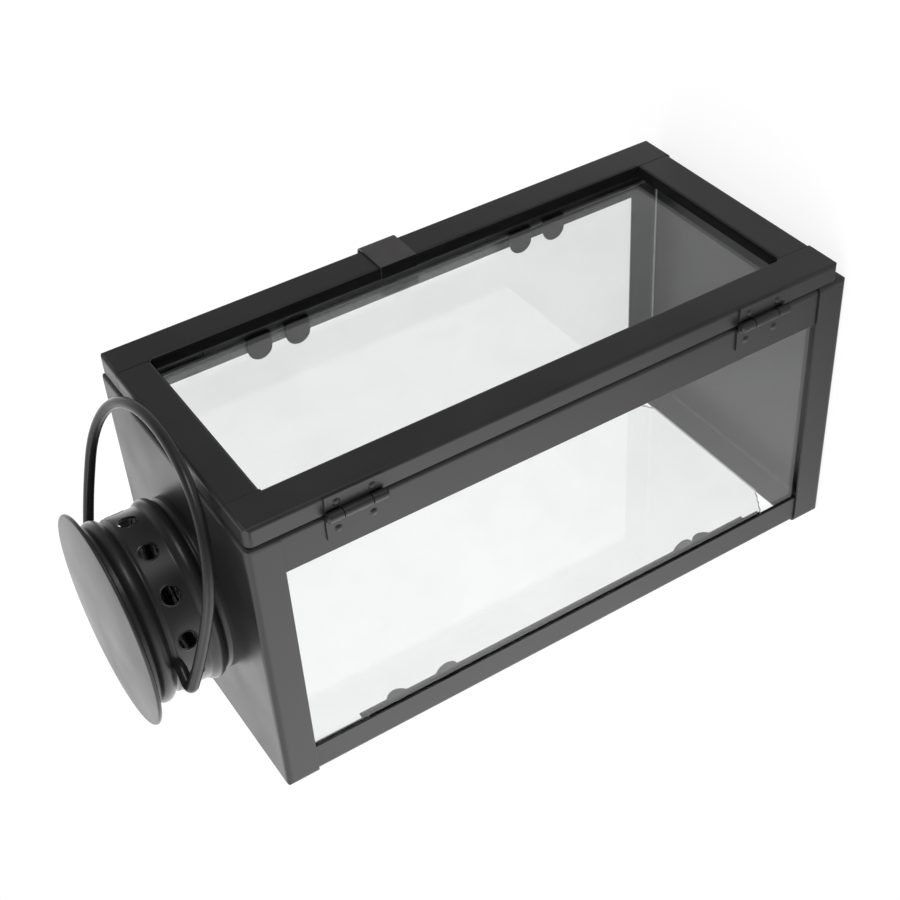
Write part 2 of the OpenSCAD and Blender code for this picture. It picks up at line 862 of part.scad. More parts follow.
module pin() {
    cylinder(r = pin_r, h = hinge_len, center = true);
    for (s = [0, 1]) mirror([0, 0, s]) translate([0, 0, hinge_len / 2]) {
        cylinder(r1 = barrel_r - turn_fit, r2 = pin_r, h = pin_head_h);
    }
}

// Rivet along +X: a domed head outside x = 0 and a shank through the sheets
module rivet(shank) {
    dome = (pow(rivet_head_r, 2) + pow(rivet_head_h, 2)) / (2 * rivet_head_h);
    rotate([0, 90, 0]) {
        cylinder(r = rivet_r, h = shank);
        rotate_extrude() intersection() {
            translate([0, dome - rivet_head_h]) circle(dome);
            translate([0, -rivet_head_h]) square([rivet_head_r, rivet_head_h]);
        }
    }
}

module hinge_leaf_door_upper() {
    color(steel_black) at_hinge(1) door_leaf();
}

module hinge_leaf_door_lower() {
    color(steel_black) at_hinge(-1) door_leaf();
}

module hinge_leaf_body_upper() {
    color(steel_black) at_hinge(1) body_leaf();
}

module hinge_leaf_body_lower() {
    color(steel_black) at_hinge(-1) body_leaf();
}

module hinge_pin_upper() {
    color(steel_worn) at_hinge(1) pin();
}

module hinge_pin_lower() {
    color(steel_worn) at_hinge(-1) pin();
}

module rivets_door() {
    color(steel_worn) for (up = [-1, 1], z = [-rivet_half, rivet_half]) at_hinge(up) {
        translate([hinge_off - leaf_t, -door_rivet_at, z]) rivet(leaf_t + sheet_t);
    }
}

module rivets_body() {
    color(steel_worn) for (up = [-1, 1], z = [-rivet_half, rivet_half]) at_hinge(up) {
        translate([hinge_off + sheet_t - leaf_t, body_rivet_at, z]) rivet(leaf_t + sheet_t);
    }
}

base_pan();
roof_pan();
post_front_left();
post_front_right();
post_back_left();
post_back_right();
glass_left();
glass_right();
glass_back();
strip_front_left();
strip_front_right();
strip_back_left();
strip_back_right();
chimney_tube();
chimney_cap();
bail_handle();
door_stile_hinge();
door_stile_latch();
door_rail_top();
door_rail_bottom();
door_glass();
door_glass_clips();
door_latch();
hinge_leaf_door_upper();
hinge_leaf_door_lower();
hinge_leaf_body_upper();
hinge_leaf_body_lower();
hinge_pin_upper();
hinge_pin_lower();
rivets_door();
rivets_body();
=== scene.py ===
"""Candle lantern: enamel, glass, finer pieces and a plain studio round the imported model."""

import json
import logging
import math
from collections.abc import Mapping, Sequence
from dataclasses import dataclass, field
from enum import Enum
from typing import Any

import bmesh
import bpy
import numpy as np
from mathutils import Matrix, Vector

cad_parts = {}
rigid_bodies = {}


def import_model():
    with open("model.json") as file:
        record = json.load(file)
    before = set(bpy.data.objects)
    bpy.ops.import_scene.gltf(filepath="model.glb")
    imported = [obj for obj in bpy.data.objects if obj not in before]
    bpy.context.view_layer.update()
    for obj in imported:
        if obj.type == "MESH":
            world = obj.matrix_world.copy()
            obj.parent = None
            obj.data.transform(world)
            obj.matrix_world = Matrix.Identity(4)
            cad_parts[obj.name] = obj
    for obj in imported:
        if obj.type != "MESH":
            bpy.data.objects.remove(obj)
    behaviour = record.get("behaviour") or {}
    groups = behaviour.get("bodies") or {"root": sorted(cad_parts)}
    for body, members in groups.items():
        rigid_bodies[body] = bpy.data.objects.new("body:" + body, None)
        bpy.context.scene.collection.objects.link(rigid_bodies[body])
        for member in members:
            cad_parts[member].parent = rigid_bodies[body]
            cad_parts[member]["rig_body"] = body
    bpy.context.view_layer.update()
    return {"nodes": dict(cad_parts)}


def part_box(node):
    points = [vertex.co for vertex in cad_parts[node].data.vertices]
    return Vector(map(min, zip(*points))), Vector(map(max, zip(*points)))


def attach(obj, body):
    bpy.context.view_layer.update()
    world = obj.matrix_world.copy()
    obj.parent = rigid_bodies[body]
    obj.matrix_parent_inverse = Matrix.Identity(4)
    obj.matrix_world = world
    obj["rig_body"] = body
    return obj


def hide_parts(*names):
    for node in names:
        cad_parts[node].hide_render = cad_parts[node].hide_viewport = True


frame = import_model()

LOG = logging.getLogger("lantern")
MM = 0.001
WELD_M = 2e-6
SHARP_DEG = 30.0
BEAD_SHARP_DEG = 50.0
FULL_TURN = 2 * math.pi
WHITE = (1.0, 1.0, 1.0, 1.0)
SEEN_RAYS = ("Is Camera Ray", "Is Transmission Ray")


class Body(Enum):
    """The parts of the lantern that move as one."""

    LANTERN = "lantern"
    DOOR = "door"
    BAIL = "bail"


class Slot(Enum):
    """The record's finishes."""

    BODY = "body_paint"
    BAIL = "bail_paint"
    HARDWARE = "hardware_paint"
    GLASS = "window_glass"


# ---- Colour and node helpers ----


def linear(hex_colour: str) -> tuple[float, float, float, float]:
    """Turns an sRGB hex value into linear RGBA.

    Each channel c is c / 12.92 below 0.04045, else ((c + 0.055) / 1.055) to the power 2.4.

    Args:
        hex_colour: Six hex digits, such as "2a2a2c".

    Returns:
        Linear red, green, blue and an alpha of 1.
    """
    channels = [int(hex_colour[i : i + 2], 16) / 255 for i in (0, 2, 4)]
    values = [c / 12.92 if c <= 0.04045 else ((c + 0.055) / 1.055) ** 2.4 for c in channels]
    return (values[0], values[1], values[2], 1.0)


def add_node(
    tree: bpy.types.NodeTree,
    kind: str,
    inputs: Mapping[str | int, Any] | None = None,
    **settings: Any,
) -> bpy.types.Node:
    """Adds one node with its settings, values and links.

    Args:
        tree: The node tree that gets the node.
        kind: Blender's type name of the node.
        inputs: For each input's name or number, a value or the output that feeds it.
        settings: Properties of the node itself.

    Returns:
        The new node.
    """
    node = tree.nodes.new(kind)
    for name, value in settings.items():
        setattr(node, name, value)
    for name, value in (inputs or {}).items():
        if isinstance(value, bpy.types.NodeSocket):
            tree.links.new(value, node.inputs[name])
        else:
            node.inputs[name].default_value = value
    return node


def add_noise(
    tree: bpy.types.NodeTree,
    place: bpy.types.NodeSocket,
    size_mm: float,
    detail: float,
    distortion: float = 0.0,
) -> bpy.types.NodeSocket:
    """Adds soft clouds of one size.

    Args:
        tree: The node tree that gets them.
        place: The coordinates they follow, in metres.
        size_mm: The clouds' size.
        detail: Number of finer layers over them.
        distortion: How far they are stirred.

    Returns:
        The clouds' value, from 0 to 1.
    """
    inputs = {
        "Vector": place,
        "Scale": 1 / (size_mm * MM),
        "Detail": detail,
        "Distortion": distortion,
    }
    return add_node(tree, "ShaderNodeTexNoise", inputs).outputs["Fac"]


def add_ramp(
    tree: bpy.types.NodeTree,
    value: bpy.types.NodeSocket,
    span: tuple[float, float],
    result: tuple[float, float] = (0.0, 1.0),
    soft: bool = False,
) -> bpy.types.NodeSocket:
    """Adds a ramp that turns one span of values into another and stops at its ends.

    Args:
        tree: The node tree that gets it.
        value: The value that drives it.
        span: The values at which it starts and ends.
        result: What it gives there.
        soft: Whether it starts and ends gently.

    Returns:
        The ramp's result.
    """
    inputs = {
        "Value": value,
        "From Min": span[0],
        "From Max": span[1],
        "To Min": result[0],
        "To Max": result[1],
    }
    kind = "SMOOTHSTEP" if soft else "LINEAR"
    return add_node(tree, "ShaderNodeMapRange", inputs, interpolation_type=kind).outputs["Result"]


def add_relief(
    tree: bpy.types.NodeTree,
    height: bpy.types.NodeSocket,
    depth_mm: float,
    under: bpy.types.NodeSocket | None = None,
    strength: float = 1.0,
) -> bpy.types.NodeSocket:
    """Adds a fine relief.

    Args:
        tree: The node tree that gets it.
        height: The relief's height, from 0 to 1.
        depth_mm: What a height of 1 stands for.
        under: The relief that it lies on, if any.
        strength: The share of it that shows.

    Returns:
        The surface's normal.
    """
    inputs = {"Height": height, "Distance": depth_mm * MM, "Strength": strength}
    if under is not None:
        inputs["Normal"] = under
    return add_node(tree, "ShaderNodeBump", inputs).outputs["Normal"]


def add_ray_test(tree: bpy.types.NodeTree, first: str, second: str) -> bpy.types.NodeSocket:
    """Adds a test that gives 1 for two kinds of rays and 0 for all others.

    Args:
        tree: The node tree that gets it.
        first: Light Path's name of one kind.
        second: Its name of the other.

    Returns:
        The test's value.
    """
    path = add_node(tree, "ShaderNodeLightPath")
    kinds = {0: path.outputs[first], 1: path.outputs[second]}
    return add_node(tree, "ShaderNodeMath", kinds, operation="MAXIMUM").outputs[0]


def add_choice(
    tree: bpy.types.NodeTree,
    share: bpy.types.NodeSocket,
    first: bpy.types.Node,
    second: bpy.types.Node,
) -> bpy.types.NodeSocket:
    """Adds a choice between two shaders.

    Args:
        tree: The node tree that gets it.
        share: 0 where the first shows and 1 where the second does.
        first: The first shader's node.
        second: The second shader's node.

    Returns:
        The shader that shows.
    """
    inputs = {0: share, 1: first.outputs[0], 2: second.outputs[0]}
    return add_node(tree, "ShaderNodeMixShader", inputs).outputs[0]


def new_material(name: str) -> tuple[bpy.types.Material, bpy.types.NodeTree]:
    """Makes an empty node material.

    Args:
        name: The material's name.

    Returns:
        The material and its node tree.
    """
    material = bpy.data.materials.new(name)
    material.use_nodes = True
    material.node_tree.nodes.clear()
    return material, material.node_tree


# ---- Surface helpers ----


def grid_faces(rows: int, cols: int) -> np.ndarray:
    """Numbers the four corners of every face of a grid whose rows are closed rings.

    Face (i, j) joins points (i, j), (i + 1, j), (i + 1, j + 1) and (i, j + 1), where
    point (i, j) has the number i * cols + j and the last j is followed by 0.

    Args:
        rows: Number of rings.
        cols: Number of points in a ring.

    Returns:
        An array of four point numbers for each face.
    """
    i, j = np.meshgrid(np.arange(rows - 1), np.arange(cols), indexing="ij")
    beside = (j + 1) % cols
    corners = [i * cols + j, (i + 1) * cols + j, (i + 1) * cols + beside, i * cols + beside]
    return np.stack(corners, axis=-1).reshape(-1, 4)


def smoothed(mesh: bpy.types.Mesh, sharp_deg: float) -> bpy.types.Mesh:
    """Shades a mesh smooth apart from its sharp edges.

    Args:
        mesh: The mesh, which is changed.
        sharp_deg: The angle between two faces from which their edge stays sharp.

    Returns:
        The same mesh.
    """
    mesh.polygons.foreach_set("use_smooth", np.ones(len(mesh.polygons), bool))
    mesh.set_sharp_from_angle(angle=math.radians(sharp_deg))
    return mesh


def solid_mesh(
    name: str, points: np.ndarray, faces: list[list[int]], sharp_deg: float = SHARP_DEG
) -> bpy.types.Mesh:
    """Makes a closed mesh from points in millimetres, with its faces outwards.

    The mesh is turned inside out where the volume under its faces, the sum of
    a . (b x c) / 6 over its triangles, is below 0.

    Args:
        name: The mesh's name.
        points: An array of points by 3, in millimetres.
        faces: The point numbers of each face.
        sharp_deg: The angle between two faces from which their edge stays sharp.

    Returns:
        The mesh, smooth apart from its sharp edges.
    """
    mesh = bpy.data.meshes.new(name)
    mesh.from_pydata((points * MM).tolist(), [], faces)
    mesh.update(calc_edges=True)
    mesh.calc_loop_triangles()
    triangles = np.zeros(len(mesh.loop_triangles) * 3, np.int64)
    mesh.loop_triangles.foreach_get("vertices", triangles)
    a, b, c = (points[triangles.reshape(-1, 3)[:, k]] for k in range(3))
    if np.einsum("ij,ij->i", a, np.cross(b, c)).sum() < 0:
        mesh.flip_normals()
    return smoothed(mesh, sharp_deg)


def welded(mesh: bpy.types.Mesh) -> bpy.types.Mesh:
    """Joins points that lie in one place and turns the faces outwards.

    Args:
        mesh: The mesh, which is changed.

    Returns:
        The same mesh.
    """
    joined = bmesh.new()
    joined.from_mesh(mesh)
    bmesh.ops.remove_doubles(joined, verts=joined.verts, dist=WELD_M)
    bmesh.ops.recalc_face_normals(joined, faces=joined.faces)
    joined.to_mesh(mesh)
    joined.free()
    return smoothed(mesh, BEAD_SHARP_DEG)


def arc(
    centre: Sequence[float], radius: float, start_deg: float, end_deg: float, count: int
) -> np.ndarray:
    """Works out points on an arc: centre + radius * (cos t, sin t).

    Args:
        centre: The circle's middle.
        radius: The circle's radius.
        start_deg: The angle t of the first point, in degrees.
        end_deg: The angle t of the last point, in degrees.
        count: Number of points.

    Returns:
        An array of count by 2.
    """
    t = np.radians(np.linspace(start_deg, end_deg, count))
    return np.array(centre) + radius * np.stack([np.cos(t), np.sin(t)], axis=-1)


def lathe(name: str, profile: np.ndarray, count: int) -> bpy.types.Mesh:
    """Turns a profile that starts and ends on the Z axis into a closed mesh.

    Point (i, j) lies at (r_i cos t_j, r_i sin t_j, z_i), with t_j a share j / count of
    a full turn. The two points on the axis are single, and a fan of triangles meets there.

    Args:
        name: The mesh's name.
        profile: Radii and heights in millimetres, as an array of points by 2.
        count: Number of steps round the axis.

    Returns:
        The closed mesh.
    """
    turn = np.linspace(0, FULL_TURN, count, endpoint=False)
    ring = profile[1:-1]
    body = np.stack(
        [
            ring[:, :1] * np.cos(turn),
            ring[:, :1] * np.sin(turn),
            np.repeat(ring[:, 1:], count, axis=1),
        ],
        axis=-1,
    ).reshape(-1, 3)
    poles = np.array([[0, 0, profile[0, 1]], [0, 0, profile[-1, 1]]])
    points = np.vstack([body, poles])
    step = np.arange(count)
    after = (step + 1) % count
    last = (len(ring) - 1) * count
    first_fan = np.stack([np.full(count, len(body)), step, after], axis=-1)
    last_fan = np.stack([np.full(count, len(body) + 1), last + after, last + step], axis=-1)
    faces = grid_faces(len(ring), count).tolist() + first_fan.tolist() + last_fan.tolist()
    return solid_mesh(name, points, faces)


def sweep(name: str, path: np.ndarray, radii: np.ndarray, count: int) -> bpy.types.Mesh:
    """Carries a circle along a path in the XZ plane and closes both ends.

    With n the path's normal in the plane and y the Y axis, point (i, j) lies at
    path_i + radius_i * (cos t_j * n_i + sin t_j * y).

    Args:
        name: The mesh's name.
        path: X and Z of the centre line in millimetres, as an array of points by 2.
        radii: The circle's radius at each point of the path.
        count: Number of steps round the circle.

    Returns:
        The closed mesh.
    """
    along = np.gradient(path, axis=0)
    along /= np.linalg.norm(along, axis=1, keepdims=True)
    turn = np.linspace(0, FULL_TURN, count, endpoint=False)
    out, side = radii[:, None] * np.cos(turn), radii[:, None] * np.sin(turn)
    points = np.stack(
        [path[:, :1] - along[:, 1:] * out, side, path[:, 1:] + along[:, :1] * out],
        axis=-1,
    ).reshape(-1, 3)
    end = np.arange(count)
    faces = grid_faces(len(path), count).tolist()
    faces += [end.tolist(), (end + (len(path) - 1) * count)[::-1].tolist()]
    return solid_mesh(name, points, faces)


def inset(outline: np.ndarray, depth: float) -> np.ndarray:
    """Moves every side of an outline that runs anticlockwise inwards by one depth.

    A corner between sides with inward normals m and n moves by
    depth * (m + n) / (1 + m . n).

    Args:
        outline: Corners, as an array of points by 2.
        depth: Distance in the outline's own unit.

    Returns:
        The corners of the smaller outline.
    """
    side = np.roll(outline, -1, axis=0) - outline
    side /= np.linalg.norm(side, axis=1, keepdims=True)
    after = np.stack([-side[:, 1], side[:, 0]], axis=-1)
    before = np.roll(after, 1, axis=0)
    return outline + depth * (before + after) / (1 + (before * after).sum(axis=1, keepdims=True))


# ---- Finishes ----


@dataclass(frozen=True)
class SatinEnamel:
    """Black satin enamel, sprayed on sheet steel and stoved.

    A sprayed coat dries in a faint orange peel a millimetre or two wide, holds a few
    nibs of dust and follows the slight waves of thin sheet. They soften and break its
    highlights, and its gloss changes a little from place to place. A nib stands
    nib_rise times as high as the peel is deep.
    """

    name: str = "satin_black_enamel"
    colour: str = "2c2b2b"
    faded: str = "353434"
    roughness: float = 0.36
    spread: float = 0.05
    cloud_mm: float = 30.0
    peel_mm: float = 1.8
    peel_depth_mm: float = 0.006
    wave_mm: float = 42.0
    wave_depth_mm: float = 0.08
    nib_mm: float = 9.0
    nib_share: float = 0.035
    nib_rise: float = 2.0
    tone_span: tuple[float, float] = (0.35, 0.7)
    gloss_span: tuple[float, float] = (0.3, 0.7)
    gloss_level: float = 0.5
    ior: float = 1.5

    def build(self) -> bpy.types.Material:
        """Builds the enamel's node material.

        Returns:
            The finished material.
        """
        material, tree = new_material(self.name)
        place = add_node(tree, "ShaderNodeTexCoord").outputs["Object"]
        cloud = add_noise(tree, place, self.cloud_mm, detail=5.0)
        paint = add_node(
            tree,
            "ShaderNodeMix",
            {
                "Factor": add_ramp(tree, cloud, self.tone_span),
                "A": linear(self.colour),
                "B": linear(self.faded),
            },
            data_type="RGBA",
        )
        gloss = (self.roughness - self.spread, self.roughness + self.spread)
        grit = add_node(
            tree, "ShaderNodeTexVoronoi", {"Vector": place, "Scale": 1 / (self.nib_mm * MM)}
        )
        nib = add_ramp(tree, grit.outputs["Distance"], (0.0, self.nib_share), (1.0, 0.0))
        wave = add_noise(tree, place, self.wave_mm, detail=0.0)
        waved = add_relief(tree, wave, self.wave_depth_mm)
        peel = add_noise(tree, place, self.peel_mm, detail=2.0)
        dimpled = add_relief(tree, peel, self.peel_depth_mm, waved)
        shader = add_node(
            tree,
            "ShaderNodeBsdfPrincipled",
            {
                "Base Color": paint.outputs["Result"],
                "Roughness": add_ramp(tree, cloud, self.gloss_span, gloss),
                "Normal": add_relief(tree, nib, self.nib_rise * self.peel_depth_mm, dimpled),
                "IOR": self.ior,
                "Specular IOR Level": self.gloss_level,
            },
        )
        add_node(tree, "ShaderNodeOutputMaterial", {"Surface": shader.outputs["BSDF"]})
        return material


@dataclass(frozen=True)
class WindowGlass:
    """Float glass, 2 mm thick, with a thin film of handling dust.

    It is clear and next to colourless. The film greys it a little in soft smears. Shadow
    and diffuse rays pass straight through, as light does through a thin flat pane.
    """

    name: str = "float_glass"
    colour: str = "f4f5f5"
    smeared: str = "f0f1f1"
    ior: float = 1.5
    smear_mm: float = 30.0
    smear_stir: float = 0.8
    smear_span: tuple[float, float] = (0.4, 0.8)

    def build(self) -> bpy.types.Material:
        """Builds the glass's node material.

        Returns:
            The finished material.
        """
        material, tree = new_material(self.name)
        place = add_node(tree, "ShaderNodeTexCoord").outputs["Object"]
        smear = add_noise(tree, place, self.smear_mm, detail=5.0, distortion=self.smear_stir)
        tint = add_node(
            tree,
            "ShaderNodeMix",
            {
                "Factor": add_ramp(tree, smear, self.smear_span),
                "A": linear(self.colour),
                "B": linear(self.smeared),
            },
            data_type="RGBA",
        )
        straight = add_ray_test(tree, "Is Shadow Ray", "Is Diffuse Ray")
        clear = add_node(tree, "ShaderNodeBsdfTransparent", {"Color": linear(self.colour)})
        pane = add_node(
            tree,
            "ShaderNodeBsdfPrincipled",
            {
                "Base Color": tint.outputs["Result"],
                "Roughness": 0.0,
                "IOR": self.ior,
                "Transmission Weight": 1.0,
            },
        )
        both = add_choice(tree, straight, pane, clear)
        add_node(tree, "ShaderNodeOutputMaterial", {"Surface": both})
        return material


@dataclass(frozen=True)
class GroundEdge:
    """The edge of a pane after it was cut and rubbed on a wet belt.

    Ground glass scatters light, so an edge shows pale and greenish where light falls
    on it, with the fine scratches of the belt along it.
    """

    name: str = "ground_glass_edge"
    colour: str = "d9e0dd"
    roughness: float = 0.5
    ior: float = 1.5
    clearness: float = 0.15
    grit_mm: float = 0.5
    grit_depth_mm: float = 0.03
    grit_strength: float = 0.6

    def build(self) -> bpy.types.Material:
        """Builds the edge's node material.

        Returns:
            The finished material.
        """
        material, tree = new_material(self.name)
        place = add_node(tree, "ShaderNodeTexCoord").outputs["Object"]
        grit = add_noise(tree, place, self.grit_mm, detail=3.0)
        ground = add_relief(tree, grit, self.grit_depth_mm, strength=self.grit_strength)
        shader = add_node(
            tree,
            "ShaderNodeBsdfPrincipled",
            {
                "Base Color": linear(self.colour),
                "Roughness": self.roughness,
                "IOR": self.ior,
                "Transmission Weight": self.clearness,
                "Normal": ground,
            },
        )
        add_node(tree, "ShaderNodeOutputMaterial", {"Surface": shader.outputs["BSDF"]})
        return material


@dataclass
class Finishes:
    """Every finish of the lantern, built once."""

    sheet: bpy.types.Material = field(default_factory=lambda: SatinEnamel().build())
    wire: bpy.types.Material = field(
        default_factory=lambda: SatinEnamel(
            name="satin_black_enamel_on_wire", roughness=0.32, wave_depth_mm=0.02, cloud_mm=12.0
        ).build()
    )
    hardware: bpy.types.Material = field(
        default_factory=lambda: SatinEnamel(
            name="satin_black_enamel_on_hinges",
            peel_mm=1.2,
            peel_depth_mm=0.02,
            wave_depth_mm=0.02,
            cloud_mm=8.0,
        ).build()
    )
    # Painted light: the strap's enamel is a lighter grey than the rest, standing in for the light
    # that falls on its bulged face.
    strap: bpy.types.Material = field(
        default_factory=lambda: SatinEnamel(
            name="satin_black_enamel_with_painted_light_on_strap",
            colour="545151",
            faded="5c5a5a",
            cloud_mm=6.0,
            wave_depth_mm=0.03,
        ).build()
    )
    # Painted shade: a near-black, dull coat for the door's folded returns, standing in for the
    # shade in the cavity behind the frame's face.
    returns_painted_shade: bpy.types.Material = field(
        default_factory=lambda: SatinEnamel(
            name="dull_black_painted_shade",
            colour="151515",
            faded="1b1b1b",
            roughness=0.7,
            gloss_level=0.12,
        ).build()
    )
    glass: bpy.types.Material = field(default_factory=lambda: WindowGlass().build())
    glass_edge: bpy.types.Material = field(default_factory=lambda: GroundEdge().build())


# ---- Sub-assemblies ----


@dataclass
class Assembly:
    """What every sub-assembly does with its pieces: dress, add and ease them."""

    finishes: Finishes
    flat_deg: float = 0.5
    crease_deg: float = 40.0
    ease_segments: int = 2

    def dress(self, nodes: Sequence[str], material: bpy.types.Material) -> None:
        """Gives every slot of some CAD nodes one material.

        Args:
            nodes: The CAD nodes' names.
            material: The finish.
        """
        for node in nodes:
            piece = frame["nodes"][node]
            if not piece.material_slots:
                piece.data.materials.append(material)
            for slot in piece.material_slots:
                slot.material = material
            LOG.info("%s: %s", node, material.name)

    def add(
        self,
        mesh: bpy.types.Mesh,
        materials: Sequence[bpy.types.Material],
        body: Body,
        slot: Slot,
        stands_for: str | None = None,
    ) -> bpy.types.Object:
        """Puts a new piece into the scene.

        Args:
            mesh: The piece's mesh, whose name the piece takes.
            materials: Its finishes, in the order of the mesh's material numbers.
            body: The body it rides on.
            slot: The record's slot of its finish. It is not used.
            stands_for: The CAD node that it replaces, if any.

        Returns:
            The piece's object.
        """
        piece = bpy.data.objects.new(mesh.name, mesh)
        bpy.context.scene.collection.objects.link(piece)
        for material in materials:
            mesh.materials.append(material)
        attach(piece, body.value)
        if stands_for:
            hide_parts(stands_for)
        LOG.info("%s: %d faces on %s", mesh.name, len(mesh.polygons), body.value)
        return piece

    def ease(
        self, nodes: Sequence[str], edge_mm: float, material: bpy.types.Material, slot: Slot
    ) -> list[bpy.types.Object]:
        """Replaces CAD nodes by copies whose cut edges are rounded as paint rounds them.

        A copy's loose triangles are joined, and those within flat_deg of one plane become
        one face. A bevel rounds every edge between faces that meet at more than crease_deg.

        Args:
            nodes: The CAD nodes' names.
            edge_mm: Width of the rounding.
            material: The finish.
            slot: The record's slot of their finish, handed on to add.

        Returns:
            The copies, in the order of the nodes.
        """
        pieces = []
        for node in nodes:
            source = frame["nodes"][node]
            mesh = source.data.copy()
            mesh.name = f"{node}_eased"
            mesh.materials.clear()
            whole = bmesh.new()
            whole.from_mesh(mesh)
            bmesh.ops.remove_doubles(whole, verts=whole.verts, dist=WELD_M)
            bmesh.ops.dissolve_limit(
                whole,
                angle_limit=math.radians(self.flat_deg),
                verts=whole.verts,
                edges=whole.edges,
            )
            whole.to_mesh(mesh)
            whole.free()
            mesh.polygons.foreach_set("material_index", np.zeros(len(mesh.polygons), np.int32))
            mesh.polygons.foreach_set("use_smooth", np.ones(len(mesh.polygons), bool))
            piece = self.add(mesh, (material,), Body(source["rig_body"]), slot, node)
            bevel = piece.modifiers.new("eased_edges", "BEVEL")
            bevel.width = edge_mm * MM
            bevel.segments = self.ease_segments
            bevel.limit_method = "ANGLE"
            bevel.angle_limit = math.radians(self.crease_deg)
            bevel.use_clamp_overlap = True
            even = piece.modifiers.new("even_shading", "WEIGHTED_NORMAL")
            even.keep_sharp = True
            pieces.append(piece)
        return pieces


@dataclass
class SheetBody(Assembly):
    """Base, roof, posts and retaining strips: folded sheet steel."""

    nodes: tuple[str, ...] = (
        "base_pan",
        "roof_pan",
        "post_front_left",
        "post_front_right",
        "post_back_left",
        "post_back_right",
        "strip_front_left",
        "strip_front_right",
        "strip_back_left",
        "strip_back_right",
    )
    edge_mm: float = 0.15

    def build(self) -> None:
        """Dresses the sheet parts of the body."""
        self.ease(self.nodes, self.edge_mm, self.finishes.sheet, Slot.BODY)


@dataclass
class Glazing(Assembly):
    """The four panes, with their sharp edges ground off."""

    arris_mm: float = 0.3
    nip_w_mm: float = 16.0
    nip_h_mm: float = 10.0
    scallops: int = 5
    scallop_mm: float = 0.35
    scallop_steps: int = 8

    def pane(
        self, name: str, outline: np.ndarray, low: float, high: float, axes: tuple[int, int, int]
    ) -> bpy.types.Mesh:
        """Makes one pane from four outlines: small, full, full, small.

        The outlines lie at the near face, one arris behind it, one arris before the far
        face and at the far face. The two on the faces are inset by the arris.

        Args:
            name: The mesh's name.
            outline: Corners of the pane in its own plane, in millimetres, anticlockwise.
            low: Place of the near face along the pane's thickness.
            high: Place of the far face along the pane's thickness.
            axes: The axes that the outline's two columns and the thickness lie along.

        Returns:
            The mesh, whose first material is the face's and second the edge's.
        """
        small, arris, count = inset(outline, self.arris_mm), self.arris_mm, len(outline)
        layers = [(small, low), (outline, low + arris), (outline, high - arris), (small, high)]
        points = np.zeros((len(layers), count, 3))
        for row, (shape, depth) in enumerate(layers):
            points[row][:, axes[:2]] = shape
            points[row][:, axes[2]] = depth
        edge = grid_faces(len(layers), count).tolist()
        near = np.arange(count)
        far = near + (len(layers) - 1) * count
        faces = [near.tolist(), far[::-1].tolist()]
        mesh = solid_mesh(name, points.reshape(-1, 3), faces + edge)
        mesh.polygons.foreach_set("material_index", np.array([0, 0] + [1] * len(edge)))
        mesh.polygons.foreach_set("use_smooth", np.zeros(len(mesh.polygons), bool))
        return mesh

    def nipped(self, x_low: float, x_high: float, z_low: float, z_high: float) -> np.ndarray:
        """Works out the back pane's outline, whose lower corners were nipped off with pliers.

        Along a nip the edge runs straight from end to end, moved into the pane by
        depth * |sin(pi * scallops * s)| for s from 0 to 1.

        Args:
            x_low: The pane's left edge.
            x_high: The pane's right edge.
            z_low: The pane's foot.
            z_high: The pane's head.

        Returns:
            The corners, anticlockwise from the foot's right end.
        """
        s = np.linspace(0, 1, self.scallop_steps * self.scallops + 1)
        bite = self.scallop_mm * np.abs(np.sin(math.pi * self.scallops * s))
        slope = np.array([self.nip_w_mm, self.nip_h_mm])
        inward = np.array([-self.nip_h_mm, self.nip_w_mm]) / np.linalg.norm(slope)
        start = np.array([x_high - self.nip_w_mm, z_low])
        right = start + s[:, None] * slope + bite[:, None] * inward
        left = right[::-1] * [-1, 1] + [x_low + x_high, 0]
        return np.vstack([right, [[x_high, z_high], [x_low, z_high]], left])

    def build(self) -> None:
        """Builds the panes in the places of the CAD ones."""
        finish = (self.finishes.glass, self.finishes.glass_edge)
        for node, body in (
            ("glass_left", Body.LANTERN),
            ("glass_right", Body.LANTERN),
            ("glass_back", Body.LANTERN),
            ("door_glass", Body.DOOR),
        ):
            low, high = (np.array(corner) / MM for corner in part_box(node))
            thin = int(np.argmin(high - low))
            across = 1 - thin
            left, right, foot, head = low[across], high[across], low[2], high[2]
            outline = np.array([[left, foot], [right, foot], [right, head], [left, head]])
            if node == "glass_back":
                outline = self.nipped(left, right, foot, head)
            mesh = self.pane(f"{node}_pane", outline, low[thin], high[thin], (across, 2, thin))
            self.add(mesh, finish, body, Slot.GLASS, node)


